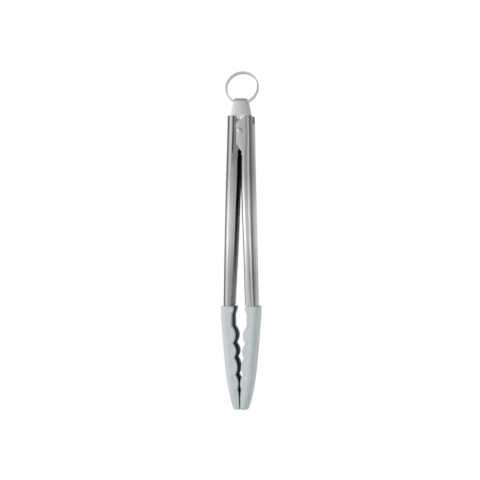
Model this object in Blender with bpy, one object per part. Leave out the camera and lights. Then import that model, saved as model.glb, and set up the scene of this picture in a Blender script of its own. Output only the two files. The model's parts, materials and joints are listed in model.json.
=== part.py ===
"""Spring loaded kitchen tongs, hanging from their ring, in metres with +Z up.

The origin is the highest point inside the ring, where a hook carries it. The tongs open along X, and the pin lies
along Y. Lengths below are in millimetres, measured from the pin's centre, and MM turns them into metres.
"""

import math

import bmesh
import bpy
from mathutils import Matrix, Vector

MM = 0.001
GAP = 0.3

SHEET = 0.9
BEND_RADIUS = 4.2
ARM_HALF_WIDTH = 9.0
RECESSED_HALF_WIDTH = 7.8
EAR_HOLE_RADIUS = 2.2
ARM_END = -163.0
RECESS_TOP_OF_STEP = -15.0
RECESS_END_OF_STEP = -19.0
HEM_TOP = -20.6
HEM_END = -143.2
HEM_INNER_HALF_WIDTH = 6.8
LIP_REACH = 8.05
LIP_NEAR = 5.0
LIP_FAR = 6.6
LIP_BOTTOM = 11.1
LIP_TOP = 12.0
LIP_ROOT = 0.45
NOTCH_HALF_WIDTH = 4.6
NOTCH_BOTTOM = 5.5
CUT_CLEAR = 4.0

PIN_RADIUS = 1.9
PIN_HEAD_RADIUS = 2.8
PIN_HEAD_HEIGHT = 1.1

TAB_HALF_DEPTH = 6.6
TAB_TOP = 26.6
TAB_BOTTOM = -5.5
TAB_BEND = 2.9
TAB_HALF_WIDTH = 9.0
TAB_WEDGE_TOP = 11.5
TAB_WEDGE_HALF_WIDTH = 7.75
TAB_WEDGE_SLOPE = 0.209
TAB_CORNER = 4.0
SLOT_HALF_WIDTH = 2.55
SLOT_TOP = 13.3
SLOT_BOTTOM = -2.2

RING_OUTER_RADIUS = 13.8
RING_THICKNESS = 0.9
RING_WIDTH = 4.4
RING_LEAN = math.radians(15.0)
RING_SEGMENTS = 48
KNUCKLE_DROP = 2.62

WIRE_RADIUS = 0.7
COIL_RADIUS = 3.6
COIL_PITCH = 1.75
COIL_FULL_TURNS = 4
LEG_LEAN = math.radians(13.0)
LEG_END_X = 9.6
LEG_END_Z = -24.0
POINTS_PER_TURN = 14

SLEEVE_TOP = -144.0
TIP = -229.0
SKIN = 1.1
SKIN_GAP = 0.25
HEAD_CORNER = 4.0
SCOOP_CORNER = 2.2
CORE_TOP = -146.0
CORE_END = -220.7
POCKET_END = -221.0
HEAD_STEP = 2.5
POCKET_STEP = 5.0

RIVET_HEIGHT = -155.0
RIVET_RADIUS = 1.6
RIVET_HOLE_RADIUS = 1.9
RIVET_HEAD_RADIUS = 3.0
RIVET_HEAD_INNER = 13.2
RIVET_HEAD_OUTER = 13.6
RIVET_END = 10.45

# Each outline is a list of (height, size), from the top down.
RIGHT_BACK = [(12.2, 9.6), (11.4, 10.3), (10.2, 10.55), (0, 10.8), (-22, 11.4), (-57, 12.3), (-101, 13.2),
              (-141, 13.8), (-144, 13.75), (-150, 13.2), (-163, 12.3)]
LEFT_BACK = [(12.2, 10.5), (11.4, 10.5), (10.2, 10.55)] + RIGHT_BACK[3:]
EAR_EDGE = [(12.2, 4.9), (12.0, 4.6), (11.2, 3.3), (9.4, 1.2), (8.1, -0.6), (6.4, -2.3), (4.4, -3), (0, -3),
            (-11, -3), (-20, 4)]
RIGHT_EDGE = EAR_EDGE + [(-20.6, 2.6), (-22, 2.0), (-64, 2.4), (-103, 3.2), (-123, 3.7), (-142, 4.7),
                         (-143.2, 4.8), (-143.8, 7.5), (-163, 7.4)]
LEFT_EDGE = EAR_EDGE + [(-20.6, 2.9), (-22, 2.3), (-64, 3.3), (-83, 4.0), (-103, 4.9), (-123, 5.8), (-142, 6.4),
                        (-143.2, 6.5), (-143.8, 7.5), (-163, 7.4)]
ARM_LEVELS = [12.2, 12.0, 11.2, 10.2, 9.4, 8.1, 6.4, 4.4, 0, -5, -11, -15, -17, -19, -20, -20.6, -22, -40, -64,
              -83, -103, -123, -142, -143.2, -143.8, -150, -156, -163]
HEAD_BACK = [(-144, 15.6), (-146, 15.65), (-165, 14.5), (-185, 12.85), (-204.6, 10.85), (-219.4, 8.3),
             (-224.3, 7.15), (-227.6, 5.9), (-229, 4.9)]
HEAD_HALF_WIDTH = [(-144, 10.4), (-165, 10.6), (-185, 10.5), (-205, 9.6), (-219, 8.0), (-227, 6.4), (-229, 5.0)]
HEAD_RIM = [(-144, 3.9), (-145, 3.8), (-151.5, 6.1), (-160, 6.1), (-167.7, 3.2), (-174.4, 5.0), (-180, 2.35),
            (-185.6, 3.85), (-193, 1.4), (-199.7, 2.85), (-207, 0.65), (-211, 1.2), (-216, 0.5), (-229, 0.45)]
POCKET_RIM = [(-144, 7.2), (-160, 7.2), (-174.4, 6.1), (-185.6, 4.95), (-199.7, 3.95), (-211, 2.4), (-221, 1.7)]
SCOOP_BACK = [(-144, 9.0), (-163, 8.8), (-178, 8.7), (-195, 7.4), (-208, 5.4), (-217, 3.2), (-223, 0.6),
              (-229, 0.6)]
CHEEK_THICKNESS = [(-144, 5.15), (-163, 5.15), (-180, 4.0), (-229, 4.0)]


def linear(outline, height):
    """The size at a height, on straight runs between the outline's points."""
    for (z0, v0), (z1, v1) in zip(outline, outline[1:]):
        if height >= z1:
            return v0 + (v1 - v0) * min(1.0, max(0.0, (z0 - height) / (z0 - z1)))
    return outline[-1][1]


def smooth(outline, height):
    """The size at a height, on a curve through the outline's points that is level at each crest and notch."""
    slopes = []
    for i, (z, v) in enumerate(outline):
        before = outline[max(i - 1, 0)]
        after = outline[min(i + 1, len(outline) - 1)]
        turns = (v - before[1]) * (after[1] - v) <= 0
        slopes.append(0.0 if turns else (after[1] - before[1]) / (after[0] - before[0]))
    for i in range(len(outline) - 1):
        (z0, v0), (z1, v1) = outline[i], outline[i + 1]
        if height >= z1:
            span = z1 - z0
            t = min(1.0, max(0.0, (height - z0) / span))
            rise = (3 - 2 * t) * t * t
            bend_0 = slopes[i] * span * t * (1 - t) ** 2
            bend_1 = slopes[i + 1] * span * t * t * (1 - t)
            return v0 + (v1 - v0) * rise + bend_0 - bend_1
    return outline[-1][1]


def material(name, colour, roughness, metallic):
    made = bpy.data.materials.new(name)
    made.use_nodes = True
    shader = made.node_tree.nodes["Principled BSDF"]
    shader.inputs["Base Color"].default_value = (*colour, 1.0)
    shader.inputs["Roughness"].default_value = roughness
    shader.inputs["Metallic"].default_value = metallic
    return made


def finished(bm, name, made_of, parent=None, place=(0, 0, 0)):
    """The bmesh, in millimetres, as an object in metres whose faces point out."""
    bmesh.ops.recalc_face_normals(bm, faces=bm.faces)
    bmesh.ops.scale(bm, vec=(MM, MM, MM), verts=bm.verts)
    mesh = bpy.data.meshes.new(name)
    bm.to_mesh(mesh)
    bm.free()
    mesh.shade_smooth()
    mesh.set_sharp_from_angle(angle=math.radians(35))
    mesh.materials.append(made_of)
    obj = bpy.data.objects.new(name, mesh)
    bpy.context.scene.collection.objects.link(obj)
    obj.parent = parent
    obj.location = Vector(place) * MM
    return obj


def skin_loops(bm, loops, closed=False):
    """Quads between each loop of vertices and the next."""
    pairs = list(zip(loops, loops[1:])) + ([(loops[-1], loops[0])] if closed else [])
    for first, second in pairs:
        count = len(first)
        for i in range(count):
            j = (i + 1) % count
            bm.faces.new((first[i], first[j], second[j], second[i]))


def add_loops(bm, sections):
    return [[bm.verts.new(point) for point in section] for section in sections]


def box_mesh(low, high):
    bm = bmesh.new()
    size = Vector(high) - Vector(low)
    middle = (Vector(high) + Vector(low)) / 2
    place = Matrix.Translation(middle) @ Matrix.Diagonal((*size, 1.0))
    bmesh.ops.create_cube(bm, size=1.0, matrix=place)
    return bm


def rod_mesh(radius, start, end, axis, segments=24, centre=(0, 0, 0)):
    """A cylinder along X or Y, from start to end on that axis."""
    bm = bmesh.new()
    turn = Matrix.Rotation(math.pi / 2, 4, "X") if axis == "Y" else Matrix.Rotation(math.pi / 2, 4, "Y")
    along = Vector((0, 1, 0)) if axis == "Y" else Vector((1, 0, 0))
    middle = Vector(centre) + along * (start + end) / 2
    bmesh.ops.create_cone(bm, cap_ends=True, segments=segments, radius1=radius, radius2=radius,
                          depth=end - start, matrix=Matrix.Translation(middle) @ turn)
    return bm


def combine(obj, bm, operation, parent):
    """Adds a Boolean of this mesh to the object, and keeps its cutter out of the render."""
    cutter = finished(bm, f"{obj.name}_{operation.lower()}_{len(obj.modifiers)}", obj.data.materials[0], parent)
    cutter.hide_render = True
    cutter.display_type = "WIRE"
    modifier = obj.modifiers.new(cutter.name, "BOOLEAN")
    modifier.operation = operation
    modifier.solver = "EXACT"
    modifier.object = cutter


def corner(x, y, radius, steps, start):
    """Points round a corner whose centre is (x, y), turning clockwise through a quarter from the start angle."""
    turns = [start - math.pi / 2 * i / steps for i in range(steps + 1)]
    return [(x + radius * math.cos(a), y + radius * math.sin(a)) for a in turns]


def both_sides(half):
    """The closed outline of a half from +Y, given as (outer points, inner points), with its mirror in Y."""
    outer, inner = half
    mirror_outer = [(x, -y) for x, y in reversed(outer)]
    mirror_inner = [(x, -y) for x, y in reversed(inner)]
    return outer + mirror_outer + mirror_inner + inner


def scoop_half(rim, back, half_width, radius, inner_back, inner_half_width, inner_radius, steps=2):
    """Half of a C section that is open towards the other arm."""
    inner_back = max(inner_back, rim + 0.05)
    inner_radius = min(inner_radius, 0.9 * (inner_back - rim), 0.9 * inner_half_width)
    radius = min(radius, 0.9 * (back - rim), 0.9 * half_width)
    outer = [(rim, half_width)]
    outer += corner(back - radius, half_width - radius, radius, steps, math.pi / 2)
    inner = corner(inner_back - inner_radius, inner_half_width - inner_radius, inner_radius, steps, math.pi / 2)
    return outer, inner[::-1] + [(rim, inner_half_width)]


def arm_half(height, back_outline, edge_outline, recessed):
    """Half of the channel's section: edge, step, bend and back outside, then back to the hem inside."""
    back = linear(back_outline, height)
    edge = linear(edge_outline, height)
    step_share = 0.0
    if recessed:
        step_share = min(1.0, max(0.0, (height - RECESS_END_OF_STEP) / (RECESS_TOP_OF_STEP - RECESS_END_OF_STEP)))
    flange = ARM_HALF_WIDTH - step_share * (ARM_HALF_WIDTH - RECESSED_HALF_WIDTH)
    bend_start = back - BEND_RADIUS
    room = bend_start - edge
    step_in, step_out = (bend_start - min(1.1, 0.8 * room), bend_start - min(0.1, 0.2 * room))
    hem_depth = min(SHEET, 0.4 * (step_in - edge))
    hem_tip = flange - SHEET - 0.02
    if HEM_END <= height <= HEM_TOP:
        hem_tip = HEM_INNER_HALF_WIDTH
    outer = [(edge, flange), (step_in, flange), (step_out, ARM_HALF_WIDTH)]
    outer += corner(bend_start, ARM_HALF_WIDTH - BEND_RADIUS, BEND_RADIUS, 3, math.pi / 2)
    bend = corner(bend_start, ARM_HALF_WIDTH - BEND_RADIUS, BEND_RADIUS - SHEET, 3, math.pi / 2)
    inner_step = step_in + 0.35 * step_share
    inner = bend[::-1] + [(step_out + 0.04, ARM_HALF_WIDTH - SHEET), (inner_step, flange - SHEET)]
    inner += [(edge + hem_depth, flange - SHEET), (edge + hem_depth, hem_tip), (edge, hem_tip)]
    return outer, inner


def placed(section, height, side):
    return [(side * x, y, height) for x, y in section]


def rivet_hole(side):
    """A cutter through the back of the arm and the core, where the rivet passes."""
    ends = sorted((side * (RIVET_END - CUT_CLEAR / 2), side * (RIVET_HEAD_OUTER + CUT_CLEAR / 2)))
    return rod_mesh(RIVET_HOLE_RADIUS, *ends, "X", 16, (0, 0, RIVET_HEIGHT))


def make_arm(name, side, back_outline, edge_outline, recessed, steel, pivot):
    """A channel of folded sheet, from its ears and lock lips down to the tongue inside the head."""
    bm = bmesh.new()
    levels = [placed(both_sides(arm_half(z, back_outline, edge_outline, recessed)), z, side) for z in ARM_LEVELS]
    loops = add_loops(bm, levels)
    skin_loops(bm, loops)
    bm.faces.new(loops[0])
    bm.faces.new(loops[-1])
    arm = finished(bm, name, steel, pivot)
    lip_root = linear(back_outline, LIP_TOP) - LIP_ROOT
    ends = sorted((side * LIP_REACH, side * lip_root))
    for low, high in ((-LIP_FAR, -LIP_NEAR), (LIP_NEAR, LIP_FAR)):
        combine(arm, box_mesh((ends[0], low, LIP_BOTTOM), (ends[1], high, LIP_TOP)), "UNION", pivot)
    back = back_outline[0][1]
    ends = sorted((side * (back - CUT_CLEAR), side * (back + CUT_CLEAR)))
    low = (ends[0], -NOTCH_HALF_WIDTH, NOTCH_BOTTOM)
    high = (ends[1], NOTCH_HALF_WIDTH, LIP_TOP + CUT_CLEAR)
    combine(arm, box_mesh(low, high), "DIFFERENCE", pivot)
    half_hole = ARM_HALF_WIDTH + CUT_CLEAR
    combine(arm, rod_mesh(EAR_HOLE_RADIUS, -half_hole, half_hole, "Y"), "DIFFERENCE", pivot)
    combine(arm, rivet_hole(side), "DIFFERENCE", pivot)
    return arm


def head_levels(top, bottom, step):
    count = round((top - bottom) / step)
    return [top + (bottom - top) * i / count for i in range(count + 1)]


def head_half(height, inset):
    """Half of the head's section, with every wall drawn in by the inset. Inside, the rim has no scallops."""
    half_width = smooth(HEAD_HALF_WIDTH, height)
    rim = linear(POCKET_RIM, height) + inset - SKIN if inset else smooth(HEAD_RIM, height)
    return scoop_half(
        rim,
        smooth(HEAD_BACK, height) - inset,
        half_width - inset,
        HEAD_CORNER - inset,
        smooth(SCOOP_BACK, height) + inset,
        half_width - linear(CHEEK_THICKNESS, height) + inset,
        SCOOP_CORNER + inset,
    )


def core_half(height):
    """Half of the core's section: a tongue inside the steel channel, and below its end the pocket's full size."""
    outer, inner = head_half(height, SKIN + SKIN_GAP)
    if height > ARM_END - 1.0:
        back = linear(RIGHT_BACK, height) - SHEET - SKIN_GAP
        half_width = ARM_HALF_WIDTH - SHEET - SKIN_GAP
        radius = BEND_RADIUS - SHEET - SKIN_GAP
        outer = [(outer[0][0], half_width)]
        outer += corner(back - radius, half_width - radius, radius, 2, math.pi / 2)
    return outer, inner


def make_core(name, side, nylon, arm):
    bm = bmesh.new()
    levels = head_levels(CORE_TOP, ARM_END - 0.5, POCKET_STEP)
    levels += head_levels(ARM_END - 2.0, CORE_END, POCKET_STEP)
    loops = add_loops(bm, [placed(both_sides(core_half(z)), z, side) for z in levels])
    skin_loops(bm, loops)
    bm.faces.new(loops[0])
    bm.faces.new(loops[-1])
    core = finished(bm, name, nylon, arm)
    combine(core, rivet_hole(side), "DIFFERENCE", arm)
    return core


def make_sleeve(name, side, silicone, arm):
    """The soft scalloped head, one skin outside and inside the pocket that holds the core and the arm's end."""
    bm = bmesh.new()
    outside = head_levels(SLEEVE_TOP, TIP + 1.4, HEAD_STEP) + [TIP]
    outer = add_loops(bm, [placed(both_sides(head_half(z, 0)), z, side) for z in outside])
    inside = head_levels(SLEEVE_TOP, POCKET_END, POCKET_STEP)
    pocket = add_loops(bm, [placed(both_sides(head_half(z, SKIN)), z, side) for z in inside])
    skin_loops(bm, outer)
    skin_loops(bm, pocket)
    skin_loops(bm, [outer[0], pocket[0]])
    bm.faces.new(outer[-1])
    bm.faces.new(pocket[-1])
    return finished(bm, name, silicone, arm)


def make_turned(name, profile, axis, segments, made_of, parent, centre=(0, 0, 0)):
    """A closed solid turned from (radius, position) points along X or Y, with both ends on the axis."""
    bm = bmesh.new()
    loops = []
    for radius, along in profile:
        loop = []
        for i in range(segments):
            a = 2 * math.pi * i / segments
            across = (radius * math.cos(a), radius * math.sin(a))
            point = (across[0], along, across[1]) if axis == "Y" else (along, across[0], across[1])
            loop.append(bm.verts.new(Vector(point) + Vector(centre)))
        loops.append(loop)
    skin_loops(bm, loops)
    bm.faces.new(loops[0])
    bm.faces.new(loops[-1])
    return finished(bm, name, made_of, parent)


def make_rivet(name, side, steel, arm):
    profile = [(RIVET_RADIUS, side * RIVET_END), (RIVET_RADIUS, side * RIVET_HEAD_INNER),
               (RIVET_HEAD_RADIUS, side * RIVET_HEAD_INNER), (RIVET_HEAD_RADIUS, side * RIVET_HEAD_OUTER)]
    return make_turned(name, profile, "X", 16, steel, arm, (0, 0, RIVET_HEIGHT))


def make_pin(steel, pivot):
    """The shaft with a low domed head outside each ear."""
    face = ARM_HALF_WIDTH + GAP
    head = [(PIN_HEAD_RADIUS, face), (PIN_HEAD_RADIUS, face + 0.35 * PIN_HEAD_HEIGHT),
            (0.8 * PIN_HEAD_RADIUS, face + 0.8 * PIN_HEAD_HEIGHT), (0.4 * PIN_HEAD_RADIUS, face + PIN_HEAD_HEIGHT)]
    near = [(radius, -along) for radius, along in reversed(head)]
    profile = near + [(PIN_RADIUS, -face), (PIN_RADIUS, face)] + head
    return make_turned("pivot_pin", profile, "Y", 24, steel, pivot)


def spring_points():
    """Up the right leg, round the coil from back to front, and down the left leg."""
    sweep = 2 * math.pi * COIL_FULL_TURNS + math.pi - 2 * LEG_LEAN
    depth = COIL_PITCH * sweep / (2 * math.pi)
    count = round(POINTS_PER_TURN * sweep / (2 * math.pi))
    coil = []
    for i in range(count + 1):
        turn = LEG_LEAN + sweep * i / count
        along = depth / 2 - depth * i / count
        coil.append((COIL_RADIUS * math.cos(turn), along, COIL_RADIUS * math.sin(turn)))
    first = (LEG_END_X, depth / 2, LEG_END_Z)
    last = (-LEG_END_X, -depth / 2, LEG_END_Z)
    return [first] + coil + [last]


def make_spring(steel, pivot):
    curve = bpy.data.curves.new("torsion_spring", "CURVE")
    curve.dimensions = "3D"
    curve.bevel_depth = WIRE_RADIUS * MM
    curve.bevel_resolution = 1
    curve.use_fill_caps = True
    spline = curve.splines.new("POLY")
    points = spring_points()
    spline.points.add(len(points) - 1)
    for slot, point in zip(spline.points, points):
        slot.co = (*(Vector(point) * MM), 1.0)
    curve.materials.append(steel)
    spring = bpy.data.objects.new("torsion_spring", curve)
    bpy.context.scene.collection.objects.link(spring)
    spring.parent = pivot
    return spring


def tab_half_width(height):
    """The tab's half width: rounded at the bottom, straight, then the wedge that the lock lips slide along."""
    wedge = TAB_WEDGE_HALF_WIDTH - TAB_WEDGE_SLOPE * (height - TAB_WEDGE_TOP)
    above = min(height - TAB_BOTTOM, TAB_CORNER)
    rounded = TAB_HALF_WIDTH - TAB_CORNER + math.sqrt(TAB_CORNER**2 - (TAB_CORNER - above) ** 2)
    return min(wedge, rounded)


def make_tab(steel, ring_end, drop):
    """A strap folded into a U over the ring, with a slot down each leg for the pin."""
    heights = [TAB_BOTTOM + TAB_CORNER * share for share in (0, 0.1, 0.33, 0.65, 1)]
    heights += [5.5, TAB_WEDGE_TOP, 18.0]
    path = [(TAB_HALF_DEPTH, z, 0.0) for z in heights]
    for i in range(5):
        a = math.pi / 2 * i / 4
        centre = (TAB_HALF_DEPTH - TAB_BEND, TAB_TOP - TAB_BEND)
        path.append((centre[0] + TAB_BEND * math.cos(a), centre[1] + TAB_BEND * math.sin(a), a))
    path += [(-y, z, math.pi - a) for y, z, a in reversed(path)]
    bm = bmesh.new()
    sections = []
    for y, z, a in path:
        width = tab_half_width(z)
        inner = (y - SHEET * math.cos(a), z - SHEET * math.sin(a))
        sections.append([(-width, y, z), (width, y, z), (width, *inner), (-width, *inner)])
    loops = add_loops(bm, sections)
    skin_loops(bm, loops)
    bm.faces.new(loops[0])
    bm.faces.new(loops[-1])
    bmesh.ops.translate(bm, vec=(0, 0, -drop), verts=bm.verts)
    tab = finished(bm, "pull_tab", steel, ring_end)
    bm = bmesh.new()
    ends = [corner(0, SLOT_TOP - SLOT_HALF_WIDTH, SLOT_HALF_WIDTH, 8, math.pi)[:-1]]
    ends += [corner(0, SLOT_TOP - SLOT_HALF_WIDTH, SLOT_HALF_WIDTH, 8, math.pi / 2)]
    ends += [corner(0, SLOT_BOTTOM + SLOT_HALF_WIDTH, SLOT_HALF_WIDTH, 8, 0)[:-1]]
    ends += [corner(0, SLOT_BOTTOM + SLOT_HALF_WIDTH, SLOT_HALF_WIDTH, 8, -math.pi / 2)]
    outline = [(x, z - drop) for part in ends for x, z in part]
    loops = add_loops(bm, [[(x, y, z) for x, z in outline] for y in (-TAB_HALF_DEPTH - 1, TAB_HALF_DEPTH + 1)])
    skin_loops(bm, loops)
    bm.faces.new(loops[0])
    bm.faces.new(loops[1])
    combine(tab, bm, "DIFFERENCE", ring_end)
    return tab


def make_ring(steel, centre):
    """A flat band bent into a ring, its top leaning towards +Y."""
    bm = bmesh.new()
    inner = RING_OUTER_RADIUS - RING_THICKNESS
    section = [(inner, -RING_WIDTH / 2), (RING_OUTER_RADIUS, -RING_WIDTH / 2),
               (RING_OUTER_RADIUS, RING_WIDTH / 2), (inner, RING_WIDTH / 2)]
    lean = Matrix.Rotation(-RING_LEAN, 4, "X")
    loops = []
    for i in range(RING_SEGMENTS):
        a = 2 * math.pi * i / RING_SEGMENTS
        points = [lean @ Vector((r * math.cos(a), y, r * math.sin(a))) for r, y in section]
        loops.append([bm.verts.new(point) for point in points])
    skin_loops(bm, loops, closed=True)
    return finished(bm, "hang_ring", steel, None, centre)


def make_empty(name, place, parent=None):
    empty = bpy.data.objects.new(name, None)
    bpy.context.scene.collection.objects.link(empty)
    empty.location = Vector(place) * MM
    empty.parent = parent
    return empty


def main():
    for obj in list(bpy.data.objects):
        bpy.data.objects.remove(obj)
    steel = {name: material(name, colour, roughness, 1.0) for name, colour, roughness in (
        ("brushed_steel", (0.62, 0.61, 0.59), 0.32), ("satin_steel", (0.68, 0.67, 0.65), 0.38),
        ("ring_steel", (0.55, 0.55, 0.54), 0.28), ("pin_steel", (0.66, 0.65, 0.63), 0.25),
        ("spring_steel", (0.45, 0.45, 0.45), 0.3), ("left_arm_steel", (0.6, 0.59, 0.57), 0.33),
        ("left_rivet_steel", (0.6, 0.6, 0.6), 0.4), ("right_rivet_steel", (0.6, 0.6, 0.6), 0.4))}

    inner_radius = RING_OUTER_RADIUS - RING_THICKNESS
    down = Vector((0, -math.sin(RING_LEAN), -math.cos(RING_LEAN)))
    make_ring(steel["ring_steel"], down * inner_radius)
    knuckle = down * (2 * inner_radius + RING_THICKNESS / 2)
    ring_end = make_empty("knuckle_axis", knuckle)
    tab_drop = TAB_TOP - SHEET - KNUCKLE_DROP
    make_tab(steel["satin_steel"], ring_end, tab_drop)
    pivot = make_empty("pin_axis", (0, 0, -tab_drop), ring_end)

    make_pin(steel["pin_steel"], pivot)
    make_spring(steel["spring_steel"], pivot)
    sides = (("right", 1, RIGHT_BACK, RIGHT_EDGE, False, "brushed_steel"),
             ("left", -1, LEFT_BACK, LEFT_EDGE, True, "left_arm_steel"))
    for side, sign, back, edge, recessed, finish in sides:
        arm = make_arm(f"{side}_arm", sign, back, edge, recessed, steel[finish], pivot)
        nylon = material(f"{side}_nylon", (0.12, 0.13, 0.14), 0.5, 0.0)
        make_core(f"{side}_head_core", sign, nylon, arm)
        silicone = material(f"{side}_silicone", (0.52, 0.6, 0.62), 0.55, 0.0)
        make_sleeve(f"{side}_head_sleeve", sign, silicone, arm)
        make_rivet(f"{side}_head_rivet", sign, steel[f"{side}_rivet_steel"], arm)


main()
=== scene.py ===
"""The looks of the spring loaded kitchen tongs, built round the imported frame.

Lengths in the outlines are in millimetres from the pivot pin's centre, as the object is measured on a bench.
MM turns them into metres, and PIN carries them to where the frame holds the pin. The stage is in metres.
"""

import json
import math

import bmesh
import bpy
from mathutils import Matrix, Vector

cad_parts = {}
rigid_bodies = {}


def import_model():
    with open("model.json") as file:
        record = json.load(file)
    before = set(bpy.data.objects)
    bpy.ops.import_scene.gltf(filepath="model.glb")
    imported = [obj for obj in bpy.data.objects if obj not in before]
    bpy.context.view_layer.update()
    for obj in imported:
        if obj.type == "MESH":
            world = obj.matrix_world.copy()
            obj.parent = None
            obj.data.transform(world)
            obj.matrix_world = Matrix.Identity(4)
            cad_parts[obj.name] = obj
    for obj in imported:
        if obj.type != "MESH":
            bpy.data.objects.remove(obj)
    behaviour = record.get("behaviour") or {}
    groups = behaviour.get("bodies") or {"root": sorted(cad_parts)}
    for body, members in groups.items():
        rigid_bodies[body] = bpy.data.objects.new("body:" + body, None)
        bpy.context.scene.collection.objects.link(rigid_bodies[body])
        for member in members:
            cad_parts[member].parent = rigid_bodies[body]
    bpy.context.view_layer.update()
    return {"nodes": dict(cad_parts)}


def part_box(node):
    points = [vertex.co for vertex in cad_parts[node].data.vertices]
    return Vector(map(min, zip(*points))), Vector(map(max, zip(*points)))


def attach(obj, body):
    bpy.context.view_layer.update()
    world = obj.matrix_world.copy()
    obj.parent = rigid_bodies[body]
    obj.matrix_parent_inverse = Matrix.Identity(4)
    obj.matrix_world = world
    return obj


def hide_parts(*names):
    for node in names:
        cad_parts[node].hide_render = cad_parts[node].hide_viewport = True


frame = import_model()

MM = 0.001
PIN = sum(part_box("pivot_pin"), Vector()) / 2
NODES = frame["nodes"]

# Arms. Each outline is a list of (height, size), from the top down, and so are those of the heads.
SHEET = 0.9
RIGHT_BACK = [(12.2, 9.6), (11.4, 10.3), (10.2, 10.55), (0, 10.8), (-22, 11.4), (-57, 12.3), (-101, 13.2),
              (-141, 13.8), (-144, 13.75), (-150, 13.2), (-163, 12.3)]
LEFT_BACK = [(12.2, 10.5), (11.4, 10.5), (10.2, 10.55)] + RIGHT_BACK[3:]
EAR_EDGE = [(12.2, 4.9), (12.0, 4.6), (11.2, 3.3), (9.4, 1.2), (8.1, -0.6), (6.4, -2.3), (4.4, -3), (0, -3),
            (-11, -3)]
RIGHT_EDGE = EAR_EDGE + [(-19.4, 3.2), (-20.6, 2.3), (-22, 1.7), (-46, 1.5), (-64, 2.0), (-83, 2.8),
                         (-103, 3.5), (-123, 4.0), (-142, 4.7), (-143.2, 4.8), (-143.8, 7.5), (-163, 7.4)]
LEFT_EDGE = EAR_EDGE + [(-16.6, 1.3), (-20.6, 1.2), (-34, 1.4), (-46, 1.8), (-64, 2.6), (-83, 3.3),
                        (-103, 4.2), (-123, 5.3), (-142, 6.4), (-143.2, 6.5), (-143.8, 7.5), (-163, 7.4)]
# The radius of the bend between flange and back. The right arm's back is the rounder one.
RIGHT_BEND = [(12.2, 3.8), (11.2, 5.5), (-5, 5.8), (-22, 7.0), (-50, 7.4), (-70, 7.4), (-105, 6.4),
              (-130, 5.2), (-143.8, 4.2), (-163, 4.2)]
LEFT_BEND = [(12.2, 5.2), (-22, 5.0), (-64, 4.6), (-105, 4.4), (-143.8, 4.2), (-163, 4.2)]
# How far the flanges lean in at their hems. The left arm's stand straight.
RIGHT_TUCK = [(-22, 0), (-56, 0.42), (-80, 0.42), (-104, 0.2), (-140, 0.1)]
LEFT_TUCK = [(12.2, 0), (-163, 0)]
# Stretches of the arm as (top, bottom, spacing of its sections): closer where the outlines turn.
ARM_STRETCHES = [(12.2, 8.0, 0.35), (8.0, -22.0, 0.75), (-22.0, -142.0, 4.0), (-142.0, -144.0, 0.25),
                 (-144.0, -163.0, 2.0)]
ARM_HALF_WIDTH = 9.0
ARM_EDGE_ROUND = 0.12
# The left arm's ears step in between these heights, to nest inside the right arm's.
RECESSED_HALF_WIDTH = 7.8
STEP_TOP = -13.0
STEP_END = -29.0
STEP_REACH = 1.1
HEM_TOP = -20.2
HEM_TOP_RAMP = 1.6
HEM_END = -143.2
HEM_END_RAMP = 0.5
HEM_BEAD = 1.1
# The most of the flange that the step, the hem and the bead take, on a (plain, stepped) arm.
STEP_SHARE = (0.2, 0.5)
HEM_SHARE = (0.75, 0.45)
BEAD_SHARE = (0.36, 0.22)
EAR_HOLE_RADIUS = 2.2
LIP_REACH = 8.05
LIP_NEAR = 5.0
LIP_FAR = 6.6
LIP_BOTTOM = 11.1
LIP_TOP = 12.0
LIP_ROOT = 1.0
NOTCH_HALF_WIDTH = 4.6
NOTCH_BOTTOM = 5.5
NOTCH_CORNER = 1.2
CUT_CLEAR = 4.0
RIVET_HEIGHT = -155.0
RIVET_HOLE_RADIUS = 1.9

# Heads
SLEEVE_TOP = -144.0
TIP = -229.0
TIP_ROUND = 2.5
TIP_DRAW = 0.36
HEAD_STEP = 0.55
POCKET_STEP = 2.0
POCKET_END = -221.0
SKIN = 1.1
HALF_GAP = 0.42
HEAD_CORNER = 4.0
SCOOP_CORNER = 2.2
HEAD_BACK = [(-144, 15.6), (-146, 15.65), (-165, 14.5), (-185, 12.85), (-204.6, 10.85), (-219.4, 8.3),
             (-224.3, 7.15), (-227.6, 5.9), (-229, 4.9)]
HEAD_HALF_WIDTH = [(-144, 10.4), (-165, 10.6), (-185, 10.5), (-205, 9.6), (-219, 8.0), (-227, 6.4),
                   (-229, 5.0)]
POCKET_RIM = [(-144, 7.2), (-160, 7.2), (-174.4, 6.1), (-185.6, 4.95), (-199.7, 3.95), (-211, 2.4),
              (-221, 1.7)]
SCOOP_BACK = [(-144, 9.0), (-163, 8.8), (-178, 8.7), (-195, 7.4), (-208, 5.4), (-217, 3.2), (-223, 0.6),
              (-229, 0.6)]
CHEEK_THICKNESS = [(-144, 5.15), (-163, 5.15), (-180, 4.0), (-229, 4.0)]
# The scalloped rim: the notches, and how far the tooth below each one reaches past the line between them.
NOTCHES = [(-160.3, 6.3), (-174.4, 5.4), (-186.0, 4.25), (-200.0, 3.2), (-211.5, 1.6), (-222.0, 0.75)]
TOOTH_REACH = [2.6, 2.25, 2.1, 1.5, 0.45]
# The rim at the mouth: a flare at the very top, then a fall back to the first notch's depth.
RIM_AT_TOP = 4.7
MOUTH_FLARE = 0.5
MOUTH_FLARE_TOP = -144.059
MOUTH_FLARE_BOTTOM = -145.4
MOUTH_FALL_BOTTOM = -151.658
MOUTH_ROUND = 0.0105
MOUTH_ROUND_DEPTH = 0.5
MOUTH_CENTRE = 11.0
PANEL_RELIEF = 0.6
PANEL_TOP = -145.0

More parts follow.
